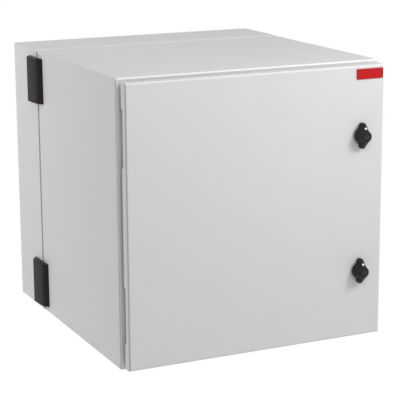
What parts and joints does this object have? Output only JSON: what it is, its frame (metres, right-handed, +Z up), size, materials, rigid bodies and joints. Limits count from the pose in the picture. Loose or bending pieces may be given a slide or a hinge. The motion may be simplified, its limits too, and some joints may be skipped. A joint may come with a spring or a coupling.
{
  "type": "double-hinged wall enclosure",
  "caption": "Double-hinged steel wall cabinet with a shallow back section, a swinging centre section with rack rails, and a gasketed door with wing knobs.",
  "frame": {"origin": "centre of the four wall bolt holes, in the plane of the wall", "axes": "+Y into the wall, so the door faces -Y; +X to the right seen from the front; +Z up"},
  "size_m": [0.6245, 0.687, 0.61],
  "materials": {
    "powder_coat": "satin light grey powder coat",
    "black_casting": "satin black coated zinc casting",
    "black_plastic": "glass-filled nylon, satin",
    "zinc_steel": "zinc plated",
    "bright_metal": "turned and plated",
    "brass": "plain turned",
    "foam": "closed-cell foam, matt",
    "red_plate": "gloss red with a raised rim"
  },
  "bodies": {
    "back_section": {"back_box": "powder_coat", "panel_studs": "zinc_steel", "seam_seal": "foam", "hinge_screws_back": "zinc_steel", "earth_stud_back": "zinc_steel", "earth_nut_back": "brass", "swing_hinge_leaf_upper": "black_casting", "swing_hinge_pin_upper": "zinc_steel", "swing_hinge_leaf_lower": "black_casting", "swing_hinge_pin_lower": "zinc_steel"},
    "centre_section": {"centre_frame": "powder_coat", "rack_angle_left": "zinc_steel", "rack_angle_right": "zinc_steel", "rack_bolts": "zinc_steel", "rack_nuts": "zinc_steel", "door_hinge_screws": "zinc_steel", "hinge_screws_centre": "zinc_steel", "earth_stud_centre": "zinc_steel", "earth_nut_centre": "brass", "swing_hinge_cover_upper": "black_casting", "door_hinge_bracket_upper": "zinc_steel", "door_hinge_pin_upper": "zinc_steel", "catch_plate_upper": "zinc_steel", "rack_rail_upper_left": "zinc_steel", "rack_rail_upper_right": "zinc_steel", "swing_hinge_cover_lower": "black_casting", "door_hinge_bracket_lower": "zinc_steel", "door_hinge_pin_lower": "zinc_steel", "catch_plate_lower": "zinc_steel", "rack_rail_lower_left": "zinc_steel", "rack_rail_lower_right": "zinc_steel"},
    "door": {"door_panel": "powder_coat", "door_gasket": "foam", "front_plate": "red_plate", "earth_stud_door": "zinc_steel", "earth_nut_door": "brass", "door_hinge_leaf_upper": "zinc_steel", "latch_housing_upper": "bright_metal", "latch_nut_upper": "zinc_steel", "door_hinge_leaf_lower": "zinc_steel", "latch_housing_lower": "bright_metal", "latch_nut_lower": "zinc_steel"},
    "latch_upper": {"latch_knob_upper": "black_plastic", "latch_spindle_upper": "zinc_steel", "latch_cam_upper": "zinc_steel", "latch_cam_nut_upper": "zinc_steel"},
    "key_upper": {"key_plug_upper": "bright_metal"},
    "section_latch_upper": {"catch_knob_upper": "black_plastic", "catch_cam_upper": "zinc_steel", "catch_nut_upper": "zinc_steel"},
    "latch_lower": {"latch_knob_lower": "black_plastic", "latch_spindle_lower": "zinc_steel", "latch_cam_lower": "zinc_steel", "latch_cam_nut_lower": "zinc_steel"},
    "key_lower": {"key_plug_lower": "bright_metal"},
    "section_latch_lower": {"catch_knob_lower": "black_plastic", "catch_cam_lower": "zinc_steel", "catch_nut_lower": "zinc_steel"}
  },
  "joints": [
    {"name": "centre_swing", "type": "hinge", "parent": "back_section", "child": "centre_section", "pos_m": [-0.3125, -0.131, 0], "axis": [0, 0, -1], "range_deg": [0, 95]},
    {"name": "door_swing", "type": "hinge", "parent": "centre_section", "child": "door", "pos_m": [-0.29, -0.644, 0], "axis": [0, 0, -1], "range_deg": [0, 120]},
    {"name": "latch_upper_turn", "type": "hinge", "parent": "door", "child": "latch_upper", "pos_m": [0.242, -0.66, 0.149], "axis": [0, -1, 0], "range_deg": [0, 90]},
    {"name": "key_upper_turn", "type": "hinge", "parent": "latch_upper", "child": "key_upper", "pos_m": [0.242, -0.69, 0.149], "axis": [0, -1, 0], "range_deg": [0, 90]},
    {"name": "section_latch_upper_turn", "type": "hinge", "parent": "centre_section", "child": "section_latch_upper", "pos_m": [0.273, -0.165, 0.15], "axis": [0, -1, 0], "range_deg": [0, 90]},
    {"name": "latch_lower_turn", "type": "hinge", "parent": "door", "child": "latch_lower", "pos_m": [0.242, -0.66, -0.149], "axis": [0, -1, 0], "range_deg": [0, 90]},
    {"name": "key_lower_turn", "type": "hinge", "parent": "latch_lower", "child": "key_lower", "pos_m": [0.242, -0.69, -0.149], "axis": [0, -1, 0], "range_deg": [0, 90]},
    {"name": "section_latch_lower_turn", "type": "hinge", "parent": "centre_section", "child": "section_latch_lower", "pos_m": [0.273, -0.165, -0.15], "axis": [0, -1, 0], "range_deg": [0, 90]}
  ]
}
